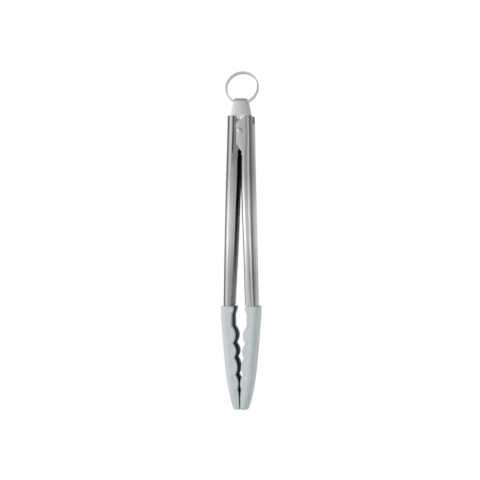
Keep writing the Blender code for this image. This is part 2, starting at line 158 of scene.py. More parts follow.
# Pin
PIN_RADIUS = 1.9
PIN_FACE = 9.3
PIN_HEAD_RADIUS = 2.8
PIN_RIM = 0.2
PIN_CROWN_RADIUS = 3.1
PIN_CROWN_EDGE = math.radians(48.0)
PIN_CROWN_STEPS = 14
PIN_SECTIONS = 64

# Pull tab
TAB_HALF_DEPTH = 6.6
TAB_TOP = 26.6
TAB_BOTTOM = -5.5
TAB_BEND = 2.9
TAB_HALF_WIDTH = 8.4
TAB_CORNER = 4.0
TAB_CORNER_STEPS = 10
TAB_STRAIGHT_TOP = 5.5
TAB_BEND_LEAD = 0.8
TAB_STEP = 2.0
TAB_EDGE_ROUND = 0.16
TAB_WEDGE_TOP = 11.5
TAB_WEDGE_HALF_WIDTH = 7.75
TAB_WEDGE_SLOPE = 0.209
SLOT_HALF_WIDTH = 2.55
SLOT_TOP = 13.3
SLOT_BOTTOM = -2.2
SLOT_CUT_REACH = 9.0

# Ring
RING_OUTER_RADIUS = 13.8
RING_THICKNESS = 0.9
RING_WIDTH = 4.4
RING_CORNER = 0.32
RING_CROWN = 0.05
RING_SECTIONS = 160
RING_LEAN = math.radians(15.0)

# Spring
WIRE_RADIUS = 0.7
WIRE_WELD = 0.001
COIL_RADIUS = 3.6
COIL_PITCH = 1.75
COIL_FULL_TURNS = 4
COIL_OVERLAP = 0.12
COIL_STEPS = 300
LEG_LEAN = math.radians(13.0)
LEG_END_X = 9.6
LEG_END_Z = -24.0
LEG_BOW = 0.35
LEG_STEPS = 12


def linear(outline, height):
    """The size at a height, on straight runs between the outline's points."""
    for (z0, v0), (z1, v1) in zip(outline, outline[1:]):
        if height >= z1:
            return v0 + (v1 - v0) * min(1.0, max(0.0, (z0 - height) / (z0 - z1)))
    return outline[-1][1]


def smooth(outline, height):
    """The size at a height, on a curve through the outline's points that is level at each crest and notch."""
    slopes = []
    for i, (z, v) in enumerate(outline):
        before = outline[max(i - 1, 0)]
        after = outline[min(i + 1, len(outline) - 1)]
        turns = (v - before[1]) * (after[1] - v) <= 0
        slopes.append(0.0 if turns else (after[1] - before[1]) / (after[0] - before[0]))
    for i in range(len(outline) - 1):
        (z0, v0), (z1, v1) = outline[i], outline[i + 1]
        if height >= z1:
            span = z1 - z0
            t = min(1.0, max(0.0, (height - z0) / span))
            rise = (3 - 2 * t) * t * t
            bend_0 = slopes[i] * span * t * (1 - t) ** 2
            bend_1 = slopes[i + 1] * span * t * t * (1 - t)
            return v0 + (v1 - v0) * rise + bend_0 - bend_1
    return outline[-1][1]


def eased(t):
    t = min(1.0, max(0.0, t))
    return t * t * (3 - 2 * t)


# Meshes


def finished(bm, name, body, finish, stands_for=None, sharp=35.0):
    """The bmesh, in millimetres from the pin, as a piece in the frame that rides on its body.

    A cutter has no body and no slot. Edges sharper than this many degrees are shaded as edges.
    """
    bmesh.ops.recalc_face_normals(bm, faces=bm.faces)
    place = Matrix.Translation(PIN) @ Matrix.Scale(MM, 4)
    bmesh.ops.transform(bm, matrix=place, verts=bm.verts)
    mesh = bpy.data.meshes.new(name)
    bm.to_mesh(mesh)
    bm.free()
    mesh.shade_smooth()
    mesh.set_sharp_from_angle(angle=math.radians(sharp))
    mesh.materials.append(finish)
    obj = bpy.data.objects.new(name, mesh)
    bpy.context.scene.collection.objects.link(obj)
    if body:
        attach(obj, body)
    if stands_for:
        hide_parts(stands_for)
    return obj


def skin_loops(bm, loops, closed=False):
    """Quads between each loop of vertices and the next."""
    pairs = list(zip(loops, loops[1:])) + ([(loops[-1], loops[0])] if closed else [])
    for first, second in pairs:
        count = len(first)
        for i in range(count):
            j = (i + 1) % count
            bm.faces.new((first[i], first[j], second[j], second[i]))


def add_loops(bm, sections):
    return [[bm.verts.new(point) for point in section] for section in sections]


def arc(x, y, radius, start, end, steps):
    """Points on an arc round (x, y), with the angles in degrees."""
    turns = [math.radians(start + (end - start) * i / steps) for i in range(steps + 1)]
    return [(x + radius * math.cos(a), y + radius * math.sin(a)) for a in turns]


def both_sides(outer, inner):
    """A closed outline, from the outer and inner points of its half at +Y."""
    mirror_outer = [(x, -y) for x, y in reversed(outer)]
    mirror_inner = [(x, -y) for x, y in reversed(inner)]
    return outer + mirror_outer + mirror_inner + inner


def evenly(first, last, step):
    """Heights from the first to the last, about a step apart."""
    count = max(1, round(abs(last - first) / step))
    return [first + (last - first) * i / count for i in range(count + 1)]


def box_mesh(low, high):
    bm = bmesh.new()
    size = Vector(high) - Vector(low)
    middle = (Vector(high) + Vector(low)) / 2
    bmesh.ops.create_cube(bm, size=1.0, matrix=Matrix.Translation(middle) @ Matrix.Diagonal((*size, 1.0)))
    return bm


def rod_mesh(radius, start, end, axis, centre=(0, 0, 0)):
    """A cutter for a round hole along X or Y, from its start to its end on that axis."""
    bm = bmesh.new()
    along = Vector((0, 1, 0)) if axis == "Y" else Vector((1, 0, 0))
    turn = Matrix.Rotation(math.pi / 2, 4, "X" if axis == "Y" else "Y")
    place = Matrix.Translation(Vector(centre) + along * (start + end) / 2) @ turn
    bmesh.ops.create_cone(bm, cap_ends=True, segments=48, radius1=radius, radius2=radius, depth=end - start,
                          matrix=place)
    return bm


def combine(obj, bm, operation):
    """Unites the object with this mesh, or cuts it away, and leaves nothing else behind."""
    tool = finished(bm, "tool", None, obj.data.materials[0])
    tool.parent = obj.parent
    modifier = obj.modifiers.new(operation, "BOOLEAN")
    modifier.operation = operation
    modifier.solver = "EXACT"
    modifier.object = tool
    apply_modifiers(obj)
    bpy.data.objects.remove(tool)


def apply_modifiers(obj):
    bpy.context.view_layer.update()
    graph = bpy.context.evaluated_depsgraph_get()
    mesh = bpy.data.meshes.new_from_object(obj.evaluated_get(graph))
    obj.modifiers.clear()
    obj.data = mesh


def soften_edges(obj, width, segments=2, angle=40.0):
    """Rounds the sharp edges of a sheet piece, as tumbling after stamping does."""
    modifier = obj.modifiers.new("edges", "BEVEL")
    modifier.width = width * MM
    modifier.segments = segments
    modifier.limit_method = "ANGLE"
    modifier.angle_limit = math.radians(angle)
    modifier.harden_normals = False
    apply_modifiers(obj)
    obj.data.shade_smooth()
    obj.data.set_sharp_from_angle(angle=math.radians(50))


# Materials


class Shader:
    """A Principled material and the few nodes that all of them use."""

    def __init__(self, name, colour, roughness, metallic=0.0):
        self.material = bpy.data.materials.new(name)
        self.material.use_nodes = True
        self.tree = self.material.node_tree
        self.main = self.tree.nodes["Principled BSDF"]
        self.main.inputs["Base Color"].default_value = (*colour, 1.0)
        self.main.inputs["Roughness"].default_value = roughness
        self.main.inputs["Metallic"].default_value = metallic
        self.place = self.tree.nodes.new("ShaderNodeTexCoord").outputs["Object"]

    def link(self, output, node_input):
        self.tree.links.new(output, node_input)

    def noise(self, scale, detail=3.0, roughness=0.5, distortion=0.0):
        """Noise whose scale is in features per metre along X, Y and Z."""
        mapping = self.tree.nodes.new("ShaderNodeMapping")
        mapping.inputs["Scale"].default_value = scale
        self.link(self.place, mapping.inputs["Vector"])
        texture = self.tree.nodes.new("ShaderNodeTexNoise")
        texture.inputs["Scale"].default_value = 1.0
        texture.inputs["Detail"].default_value = detail
        texture.inputs["Roughness"].default_value = roughness
        texture.inputs["Distortion"].default_value = distortion
        self.link(mapping.outputs["Vector"], texture.inputs["Vector"])
        return texture.outputs["Fac"]

    def spread(self, fac, low, high, start=0.3, end=0.7):
        node = self.tree.nodes.new("ShaderNodeMapRange")
        node.inputs["From Min"].default_value = start
        node.inputs["From Max"].default_value = end
        node.inputs["To Min"].default_value = low
        node.inputs["To Max"].default_value = high
        self.link(fac, node.inputs["Value"])
        return node.outputs["Result"]

    def calculate(self, operation, first, second):
        node = self.tree.nodes.new("ShaderNodeMath")
        node.operation = operation
        self.link(first, node.inputs[0])
        self.link(second, node.inputs[1])
        return node.outputs["Value"]

    def add(self, first, second):
        return self.calculate("ADD", first, second)

    def tint(self, fac, first, second, start=0.3, end=0.7):
        ramp = self.tree.nodes.new("ShaderNodeValToRGB")
        ramp.color_ramp.elements[0].position = start
        ramp.color_ramp.elements[0].color = (*first, 1.0)
        ramp.color_ramp.elements[1].position = end
        ramp.color_ramp.elements[1].color = (*second, 1.0)
        self.link(fac, ramp.inputs["Fac"])
        self.link(ramp.outputs["Color"], self.main.inputs["Base Color"])

    def painted_shade_patch(self, share, *bands):
        """Painted shade: multiplies the colour by the share where every band is past its end."""
        split = self.tree.nodes.new("ShaderNodeSeparateXYZ")
        self.link(self.place, split.inputs["Vector"])
        patch = None
        for axis, start, end in bands:
            inside = self.spread(split.outputs[axis], 0.0, 1.0, start, end)
            patch = self.calculate("MULTIPLY", patch, inside) if patch else inside
        mix = self.tree.nodes.new("ShaderNodeMix")
        mix.data_type = "RGBA"
        mix.blend_type = "MULTIPLY"
        mix.inputs["B"].default_value = (share, share, share, 1.0)
        colour = self.main.inputs["Base Color"].links[0].from_socket
        self.link(patch, mix.inputs["Factor"])
        self.link(colour, mix.inputs["A"])
        self.link(mix.outputs["Result"], self.main.inputs["Base Color"])

    def bump(self, height, strength, distance):
        node = self.tree.nodes.new("ShaderNodeBump")
        node.inputs["Strength"].default_value = strength
        node.inputs["Distance"].default_value = distance
        self.link(height, node.inputs["Height"])
        self.link(node.outputs["Normal"], self.main.inputs["Normal"])


def band(axis, start, end):
    """For a painted shade patch: an axis, where the band starts and where it is full, in millimetres from the
    pin.
    """
    pin_at = PIN["XYZ".index(axis)]
    return axis, pin_at + start * MM, pin_at + end * MM


def brushed_steel(name, dark, light, roughness, painted_patches=(), metallic=1.0):
    """Stainless sheet with its grain along the tongs, faint cloudy wear, a few longer scratches, and the
    painted shade patches it is given.
    """
    shader = Shader(name, light, roughness, metallic)
    fine = shader.noise((3800, 3800, 45), 4.0, 0.65)
    broad = shader.noise((140, 140, 14), 3.0, 0.5)
    wear = shader.noise((900, 900, 18), 2.0, 0.6, 0.4)
    cloudy = shader.add(shader.spread(fine, 0.0, 0.45), shader.spread(broad, 0.0, 0.55))
    shader.tint(cloudy, dark, light, 0.1, 0.9)
    for patch in painted_patches:
        shader.painted_shade_patch(*patch)
    grain = shader.spread(fine, roughness - 0.06, roughness + 0.05)
    rough = shader.add(grain, shader.spread(wear, -0.03, 0.05))
    shader.link(rough, shader.main.inputs["Roughness"])
    shader.bump(shader.add(fine, wear), 0.35, 0.00002)
    return shader.material


def polished_steel(name, dark, light, roughness, scale=260):
    """Tumbled or drawn steel, with fine marks that run every way."""
    shader = Shader(name, light, roughness, 1.0)
    marks = shader.noise((scale * 9,) * 3, 4.0, 0.6)
    clouds = shader.noise((scale,) * 3, 2.0, 0.5)
    shader.tint(clouds, dark, light)
    shader.link(shader.spread(marks, roughness - 0.05, roughness + 0.07), shader.main.inputs["Roughness"])
    shader.bump(marks, 0.15, 0.00001)
    return shader.material


def silicone(name, dark, light):
    """Matte moulded silicone: a powdery surface, a little soft glow inside and the faintest mottling."""
    shader = Shader(name, light, 0.5)
    grain = shader.noise((5200,) * 3, 3.0, 0.6)
    mottle = shader.noise((190,) * 3, 4.0, 0.55)
    handled = shader.noise((60, 60, 35), 2.0, 0.5)
    clouds = shader.add(shader.spread(mottle, 0.0, 0.5), shader.spread(handled, 0.0, 0.5))
    shader.tint(clouds, dark, light, 0.1, 0.9)
    rough = shader.add(shader.spread(mottle, 0.44, 0.54), shader.spread(handled, -0.03, 0.05))
    shader.link(rough, shader.main.inputs["Roughness"])
    shader.bump(grain, 0.25, 0.00004)
    shader.main.inputs["Subsurface Weight"].default_value = 0.12
    shader.main.inputs["Subsurface Radius"].default_value = (0.8, 1.0, 1.0)
    shader.main.inputs["Subsurface Scale"].default_value = 0.0012
    shader.main.inputs["Specular IOR Level"].default_value = 0.35
    return shader.material


def nylon(name):
    """Dark moulded nylon with a fine grain."""
    shader = Shader(name, (0.05, 0.055, 0.06), 0.5)
    grain = shader.noise((2600,) * 3, 2.0, 0.5)
    shader.tint(grain, (0.035, 0.04, 0.045), (0.06, 0.066, 0.07))
    shader.bump(grain, 0.3, 0.00005)
    return shader.material


# A painted shade patch is the share of the colour that is left, and its bands.
# Painted highlight down the arms' middle: the steel is painted darker towards the hinge and towards the
# heads, and painted shade dims the left ear under the right arm's ear.
RIGHT_HIGHLIGHT_FADE_AT_HINGE = (0.6, band("Z", -68, -36))
LEFT_HIGHLIGHT_FADE_AT_HINGE = (0.63, band("Z", -68, -36))
HIGHLIGHT_FADE_AT_HEADS = (0.68, band("Z", -90, -118))
# Painted shade on the left arm's stepped ear, where it stands in the right arm's shade.
LEFT_EAR_PAINTED_SHADE = (0.92, band("Z", -24, -8), band("X", -6.2, -5.4))
# Painted shade on the inside and the hems, darkest where the arms stand close together: real shade alone
# leaves it too bright.
INSIDE_PAINTED_SHADE = (0.08, band("Z", 4, -2), band("Z", -140, -60))
LEFT_HEM_PAINTED_SHADE = (0.12, band("Z", 4, -2), band("Z", -75, -36))
RIGHT_HEM_PAINTED_SHADE = (0.14, band("Z", 4, -2), band("Z", -160, -60))

# The arms' steel is bright, then darkened towards the hinge and the heads: a painted highlight down the
# middle.
RIGHT_ARM_STEEL = brushed_steel("arm_steel", (0.84, 0.835, 0.82), (0.97, 0.965, 0.955), 0.25,
                                [RIGHT_HIGHLIGHT_FADE_AT_HINGE, HIGHLIGHT_FADE_AT_HEADS])
# The left arm's steel is a darker copy of the right arm's: painted shade.
LEFT_ARM_SHADED_STEEL = brushed_steel("left_arm_steel", (0.63, 0.625, 0.614), (0.78, 0.77, 0.758), 0.25,
                               [LEFT_HIGHLIGHT_FADE_AT_HINGE, HIGHLIGHT_FADE_AT_HEADS, LEFT_EAR_PAINTED_SHADE])
# Copies of the steel for the channel's inside and hems: paler, less metallic ones are painted light inside,
# and the right hems' darker copy is painted shade along the gap.
ARM_INSIDE = brushed_steel("arm_steel_inside", (0.7, 0.695, 0.68), (0.8, 0.79, 0.78), 0.42, [INSIDE_PAINTED_SHADE],
                           metallic=0.3)
LEFT_HEM = brushed_steel("left_hem_steel", (0.8, 0.795, 0.78), (0.95, 0.94, 0.93), 0.4, [LEFT_HEM_PAINTED_SHADE],
                         metallic=0.3)
RIGHT_HEM = brushed_steel("right_hem_steel", (0.5, 0.495, 0.48), (0.6, 0.595, 0.58), 0.4, [RIGHT_HEM_PAINTED_SHADE],
                          metallic=0.8)
TAB_STEEL = brushed_steel("tab_steel", (0.7, 0.687, 0.674), (0.84, 0.827, 0.814), 0.34)
# A less metallic copy of the tab's steel for its inner side: painted light where the inside lies in shade.
TAB_INSIDE = brushed_steel("tab_steel_inside", (0.7, 0.69, 0.67), (0.8, 0.79, 0.77), 0.5, metallic=0.25)
RING_STEEL = polished_steel("ring_steel", (0.86, 0.86, 0.85), (0.98, 0.98, 0.97), 0.12)
PIN_STEEL = polished_steel("pin_steel", (0.72, 0.71, 0.7), (0.86, 0.85, 0.84), 0.08, 500)
SPRING_STEEL = polished_steel("spring_steel", (0.36, 0.36, 0.37), (0.5, 0.5, 0.5), 0.28, 400)
RIVET_STEEL = polished_steel("rivet_steel", (0.5, 0.5, 0.5), (0.62, 0.62, 0.62), 0.3, 400)
SILICONE = silicone("silicone", (0.43, 0.482, 0.492), (0.48, 0.525, 0.535))
# A dark copy of the silicone for the scoop between the rims: painted shade.
SCOOP_PAINTED_SHADE = silicone("silicone_scoop_painted_shade", (0.1, 0.135, 0.142), (0.13, 0.165, 0.172))
NYLON = nylon("nylon")


# Arms

# A section has this many points on its outside, and then its inside from hem to hem. Each hem takes this many
# faces of the inside, and the right arm's hems show this many outer faces to the gap as well.
OUTER_POINTS = 32
HEM_INNER_FACES = 5
HEM_OUTER_FACES = 4


def arm_section(height, outlines, recessed):
    """The channel at a height: beaded edge, ear step, bend and back outside, then the sheet's inside."""
    back, edge, radius, tuck = (linear(outline, height) for outline in outlines)
    step = eased((height - STEP_END) / (STEP_TOP - STEP_END)) if recessed else 0.0
    flange = ARM_HALF_WIDTH - step * (ARM_HALF_WIDTH - RECESSED_HALF_WIDTH)
    hem = flange - tuck
    starts = eased((HEM_TOP - height) / HEM_TOP_RAMP)
    ends = eased((height - HEM_END) / HEM_END_RAMP)
    full_bead = SHEET / 2 + (HEM_BEAD - SHEET / 2) * min(starts, ends)
    bend_start = back - radius
    room = bend_start - edge
    step_in = bend_start - min(STEP_REACH, STEP_SHARE[recessed] * room)
    step_out = bend_start - min(0.1, 0.1 * room)
    bead_end = edge + min(2.1 * full_bead, HEM_SHARE[recessed] * room)
    bead = min(full_bead, BEAD_SHARE[recessed] * room)
    rim = arc(edge + bead, hem - bead, bead, 90, 270, 8)
    bend = ARM_HALF_WIDTH - radius
    outer = rim[:5][::-1] + [(step_in, flange), (step_out, ARM_HALF_WIDTH)]
    outer += arc(bend_start, bend, radius, 90, 0, 8)
    inner = arc(bend_start, bend, radius - SHEET, 0, 90, 8)
    inner += [(step_out + 0.04, ARM_HALF_WIDTH - SHEET), (step_in + 0.35 * step, flange - SHEET)]
    inner += [(bead_end, hem - SHEET), (0.5 * (bead_end + edge + bead), hem - 1.9 * bead)]
    inner += rim[5:][::-1]
    return both_sides(outer, inner)


def paint_inside(bm, rows, count, recessed):
    """Gives the inside faces of a skinned channel their material index: 1, or 2 on the hems, for the inside's
    copies of the steel with their painted light and shade.
    """
    bm.faces.ensure_lookup_table()
    shown = 0 if recessed else HEM_OUTER_FACES
    for row in range(rows):
        for i in (*range(shown), *range(OUTER_POINTS - 1 - shown, count)):
            on_hem = i < OUTER_POINTS + HEM_INNER_FACES or i >= count - HEM_INNER_FACES
            bm.faces[row * count + i].material_index = 2 if on_hem else 1


def add_lips(arm, side, back):
    """The two lips that the tab's wedge presses on, inside the top of the back."""
    ends = sorted((side * LIP_REACH, side * (back - LIP_ROOT)))
    for low, high in ((-LIP_FAR, -LIP_NEAR), (LIP_NEAR, LIP_FAR)):
        combine(arm, box_mesh((ends[0], low, LIP_BOTTOM), (ends[1], high, LIP_TOP)), "UNION")


def cut_notch(arm, side, back):
    """The notch in the top of the back, with round lower corners, where the ring lies when folded down."""
    ends = sorted((side * (back - CUT_CLEAR), side * (back + CUT_CLEAR)))
    top = LIP_TOP + CUT_CLEAR
    notch = box_mesh((ends[0], -NOTCH_HALF_WIDTH, NOTCH_BOTTOM), (ends[1], NOTCH_HALF_WIDTH, top))
    bottom_edges = []
    for edge in notch.edges:
        start, end = (vert.co for vert in edge.verts)
        if max(start.z, end.z) < NOTCH_BOTTOM + 0.1 and abs(start.x - end.x) > 1:
            bottom_edges.append(edge)
    bmesh.ops.bevel(notch, geom=bottom_edges, offset=NOTCH_CORNER, segments=8, affect="EDGES", profile=0.5)
    combine(arm, notch, "DIFFERENCE")


def make_arm(body, side, outlines):
    """A channel with rolled hems, the lock lips, the ring's notch, and holes for the pin and the rivet."""
    recessed = side < 0
    levels = [ARM_STRETCHES[0][0]]
    for top, bottom, spacing in ARM_STRETCHES:
        levels += evenly(top, bottom, spacing)[1:]
    sections = [arm_section(z, outlines, recessed) for z in levels]
    bm = bmesh.new()
    loops = add_loops(bm, [[(side * x, y, z) for x, y in section] for section, z in zip(sections, levels)])
    skin_loops(bm, loops)
    bm.faces.new(loops[0])
    bm.faces.new(loops[-1])
    paint_inside(bm, len(levels) - 1, len(sections[0]), recessed)
    steel = LEFT_ARM_SHADED_STEEL if recessed else RIGHT_ARM_STEEL
    arm = finished(bm, body + "_channel", body, steel, body)
    arm.data.materials.append(ARM_INSIDE)
    arm.data.materials.append(LEFT_HEM if recessed else RIGHT_HEM)
    back_outline = outlines[0]
    add_lips(arm, side, linear(back_outline, LIP_TOP))
    cut_notch(arm, side, back_outline[0][1])
    half_hole = ARM_HALF_WIDTH + CUT_CLEAR
    combine(arm, rod_mesh(EAR_HOLE_RADIUS, -half_hole, half_hole, "Y"), "DIFFERENCE")
    back = linear(back_outline, RIVET_HEIGHT)
    ends = sorted((side * (back - CUT_CLEAR), side * (back + CUT_CLEAR)))
    combine(arm, rod_mesh(RIVET_HOLE_RADIUS, *ends, "X", (0, 0, RIVET_HEIGHT)), "DIFFERENCE")
    soften_edges(arm, ARM_EDGE_ROUND)


# Heads

# The faces of a head's section on each rim, which the scoop's painted shade leaves out.
RIM_FACES = 7


def rim_at(height):
    """How far the scalloped rim stands from the middle, with a rounded tooth below each pointed notch."""
    first_notch, notch_rim = NOTCHES[0]
    if height > first_notch:
        fall = eased((MOUTH_FLARE_BOTTOM - height) / (MOUTH_FLARE_BOTTOM - MOUTH_FALL_BOTTOM))
        flare = eased((height - MOUTH_FLARE_BOTTOM) / (MOUTH_FLARE_TOP - MOUTH_FLARE_BOTTOM))
        return RIM_AT_TOP + (notch_rim - RIM_AT_TOP) * fall + MOUTH_FLARE * flare
    for (z0, v0), (z1, v1), reach in zip(NOTCHES, NOTCHES[1:], TOOTH_REACH):
        if height >= z1:
            t = (z0 - height) / (z0 - z1)
            line = v0 + (v1 - v0) * t
            return max(HALF_GAP, line - reach * math.sin(math.pi * t) ** 0.8)
    last_notch, last_rim = NOTCHES[-1]
    return max(HALF_GAP, last_rim - 0.28 * eased((last_notch - height) / 3))


def panel_relief(height):
    """The step across the cheek at each notch: sunk just below it, fading out towards the next."""
    tops = [PANEL_TOP] + [z for z, _ in NOTCHES[:5]]
    for start, end in zip(tops, tops[1:] + [TIP]):
        if start >= height > end:
            t = (start - height) / (start - end)
            return -PANEL_RELIEF * eased(t / 0.05) * (1 - 0.9 * eased((t - 0.05) / 0.9))
    return 0.0


def head_section(height, inset, steps=6):
    """The head at a height, with every wall drawn in by the inset. Inside, the rim has no scallops."""
    half_width = smooth(HEAD_HALF_WIDTH, height) - inset
    back = smooth(HEAD_BACK, height) - inset
    rim = linear(POCKET_RIM, height) + inset - SKIN if inset else rim_at(height)
    inner_back = max(smooth(SCOOP_BACK, height) + inset, rim + 0.05)
    inner_half = smooth(HEAD_HALF_WIDTH, height) - linear(CHEEK_THICKNESS, height) + inset
    inner_radius = min(SCOOP_CORNER + inset, 0.9 * (inner_back - rim), 0.9 * inner_half)
    radius = min(HEAD_CORNER - inset, 0.9 * (back - rim), 0.9 * half_width)
    relief = 0.0 if inset else panel_relief(height)
    lip = 0.01 if inset else min(0.5 * (half_width - inner_half), 0.75, 0.6 * (inner_back - rim) + 0.3)
    flat_end = back - radius
    face = []
    for share in (0.0, 0.25, 0.5, 0.75, 0.9):
        x = rim + lip + (flat_end - rim - lip) * share
        fade = 1 - eased((share - 0.35) / 0.6)
        face.append((x, half_width + relief * fade - 0.12 * (1 - share) ** 2))
    outer = arc(rim + lip, face[0][1] - lip, lip, 180, 90, steps)[:-1] + face
    outer += arc(flat_end, half_width - radius, radius, 90, 0, steps)
    scoop_end = inner_back - inner_radius
    inner = arc(scoop_end, inner_half - inner_radius, inner_radius, 0, 90, steps)
    inner += [(scoop_end - (scoop_end - rim - lip) * share, inner_half) for share in (0.5, 0.95)]
    inner += arc(rim + lip, inner_half + lip, lip, 270, 180, steps)[:-1]
    return both_sides(outer, inner)


def sleeve_outside():
    """Sections of the head's skin: round at the mouth, scalloped, then drawn in to a round tip."""
    tip_top = TIP + TIP_ROUND
    sections = []
    for z in [SLEEVE_TOP, SLEEVE_TOP - 0.12] + evenly(SLEEVE_TOP - 0.4, tip_top, HEAD_STEP):
        size = 1 - MOUTH_ROUND * (1 - eased((SLEEVE_TOP - z) / MOUTH_ROUND_DEPTH))
        section = head_section(z, 0)
        sections.append([(MOUTH_CENTRE + (x - MOUTH_CENTRE) * size, y * size, z) for x, y in section])
    base = head_section(tip_top, 0)
    middle = sum(x for x, _ in base) / len(base)
    for i in range(1, 9):
        a = math.pi / 2 * i / 8
        size = 1 - TIP_DRAW * (1 - math.cos(a))
        z = tip_top - TIP_ROUND * math.sin(a)
        sections.append([(max(HALF_GAP, middle + (x - middle) * size), y * size, z) for x, y in base])
    return sections


def sleeve_pocket():
    """Sections of the pocket that holds the core and the arm's end."""
    heights = evenly(SLEEVE_TOP, POCKET_END, POCKET_STEP)
    return [[(x, y, z) for x, y in head_section(z, SKIN)] for z in heights]


def make_sleeve(name, side):
    """A soft head: its scalloped skin outside, its pocket inside, and painted shade, a dark copy of the
    silicone, on the scoop between the rims.
    """
    bm = bmesh.new()
    outside = [[(side * x, y, z) for x, y, z in section] for section in sleeve_outside()]
    pocket = [[(side * x, y, z) for x, y, z in section] for section in sleeve_pocket()]
    outer_loops = add_loops(bm, outside)
    pocket_loops = add_loops(bm, pocket)
    skin_loops(bm, outer_loops)
    skin_loops(bm, pocket_loops)
    skin_loops(bm, [outer_loops[0], pocket_loops[0]])
    bm.faces.new(outer_loops[-1])
    bm.faces.new(pocket_loops[-1])
    bm.faces.ensure_lookup_table()
    count = len(outside[0])
    # Painted shade: the scoop's faces take the dark copy of the silicone.
    for row in range(len(outside) - 1):
        for i in range(count // 2 + RIM_FACES, count - RIM_FACES):
            bm.faces[row * count + i].material_index = 1
    body = "right_arm" if side > 0 else "left_arm"
    node = "right_head_sleeve" if side > 0 else "left_head_sleeve"
    sleeve = finished(bm, name, body, SILICONE, node, 60.0)
    sleeve.data.materials.append(SCOOP_PAINTED_SHADE)


# Hinge, lock and ring


def make_pin():
    """The shaft and its two formed heads, each a round crown on a thin rim, turned about the pin's axis."""
    head = [(PIN_HEAD_RADIUS - 0.12, PIN_FACE), (PIN_HEAD_RADIUS, PIN_FACE + PIN_RIM / 2),
            (PIN_HEAD_RADIUS - 0.1, PIN_FACE + PIN_RIM)]
    for i in range(PIN_CROWN_STEPS):
        a = PIN_CROWN_EDGE * (1 - i / PIN_CROWN_STEPS)
        rise = PIN_CROWN_RADIUS * (math.cos(a) - math.cos(PIN_CROWN_EDGE))
        head.append((PIN_CROWN_RADIUS * math.sin(a), PIN_FACE + PIN_RIM + 0.01 + rise))
    other_head = [(radius, -along) for radius, along in reversed(head)]
    profile = other_head + [(PIN_RADIUS, -PIN_FACE), (PIN_RADIUS, PIN_FACE)] + head
    turns = [2 * math.pi * i / PIN_SECTIONS for i in range(PIN_SECTIONS)]
    bm = bmesh.new()
    loops = add_loops(bm, [[(radius * math.cos(a), along, radius * math.sin(a)) for a in turns]
                           for radius, along in profile])
    skin_loops(bm, loops)
    bm.faces.new(loops[0])
    bm.faces.new(loops[-1])
    finished(bm, "pivot_pin_formed", "pivot", PIN_STEEL, "pivot_pin", 40.0)


def wire(name, points, body, stands_for=None):
    """A round wire through points, as a mesh with flat ends that are welded to its side."""
    curve = bpy.data.curves.new(name, "CURVE")
    curve.dimensions = "3D"
    curve.bevel_depth = WIRE_RADIUS
    curve.bevel_resolution = 5
    curve.use_fill_caps = True
    spline = curve.splines.new("POLY")
    spline.points.add(len(points) - 1)
    for knot, point in zip(spline.points, points):
        knot.co = (*point, 1.0)
    rod = bpy.data.objects.new(name, curve)
    bpy.context.scene.collection.objects.link(rod)
    bpy.context.view_layer.update()
    mesh = rod.evaluated_get(bpy.context.evaluated_depsgraph_get()).to_mesh()
    bm = bmesh.new()
    bm.from_mesh(mesh)
    bmesh.ops.remove_doubles(bm, verts=bm.verts, dist=WIRE_WELD)
    bpy.data.objects.remove(rod)
    finished(bm, name, body, SPRING_STEEL, stands_for, 50.0)


def make_spring():
    """The coil stays on the pin, and each leg turns with the arm that it pushes."""
    sweep = 2 * math.pi * COIL_FULL_TURNS + math.pi - 2 * LEG_LEAN
    depth = COIL_PITCH * sweep / (2 * math.pi)
    coil = []
    for i in range(COIL_STEPS + 1):
        share = i / COIL_STEPS
        turn = LEG_LEAN - COIL_OVERLAP + (sweep + 2 * COIL_OVERLAP) * share
        coil.append((COIL_RADIUS * math.cos(turn), depth * (0.5 - share), COIL_RADIUS * math.sin(turn)))
    wire("spring_coil", coil, "pivot", "torsion_spring")
    for side, body, name in ((1, "right_arm", "spring_leg_right"), (-1, "left_arm", "spring_leg_left")):
        along = side * depth / 2
        start = Vector((side * COIL_RADIUS * math.cos(LEG_LEAN), along, COIL_RADIUS * math.sin(LEG_LEAN)))
        end = Vector((side * LEG_END_X, along, LEG_END_Z))
        points = []
        for i in range(LEG_STEPS + 1):
            share = i / LEG_STEPS
            bow = Vector((side * LEG_BOW * math.sin(math.pi * share), 0, 0))
            points.append(start.lerp(end, share) + bow)
        wire(name, points, body)


def tab_half_width(height):
    """Round at the bottom, then straight, then the wedge that the lock's lips slide along."""
    wedge = TAB_WEDGE_HALF_WIDTH - TAB_WEDGE_SLOPE * (height - TAB_WEDGE_TOP)
    above = min(height - TAB_BOTTOM, TAB_CORNER)
    rounded = TAB_HALF_WIDTH - TAB_CORNER + math.sqrt(TAB_CORNER**2 - (TAB_CORNER - above) ** 2)
    return min(wedge, rounded)


def tab_path():
    """The strap's outer face as (y, z, the angle it faces): up one leg, over the top, down the other."""
    foot = [1 - math.cos(math.pi / 2 * i / TAB_CORNER_STEPS) for i in range(TAB_CORNER_STEPS + 1)]
    heights = [TAB_BOTTOM + TAB_CORNER * share for share in foot]
    heights += evenly(TAB_STRAIGHT_TOP, TAB_TOP - TAB_BEND - TAB_BEND_LEAD, TAB_STEP)
    path = [(TAB_HALF_DEPTH, z, 0.0) for z in heights]
    for y, z in arc(0, 0, TAB_BEND, 0, 90, 10):
        path.append((TAB_HALF_DEPTH - TAB_BEND + y, TAB_TOP - TAB_BEND + z, math.atan2(z, y)))
    return path + [(-y, z, math.pi - a) for y, z, a in reversed(path)]


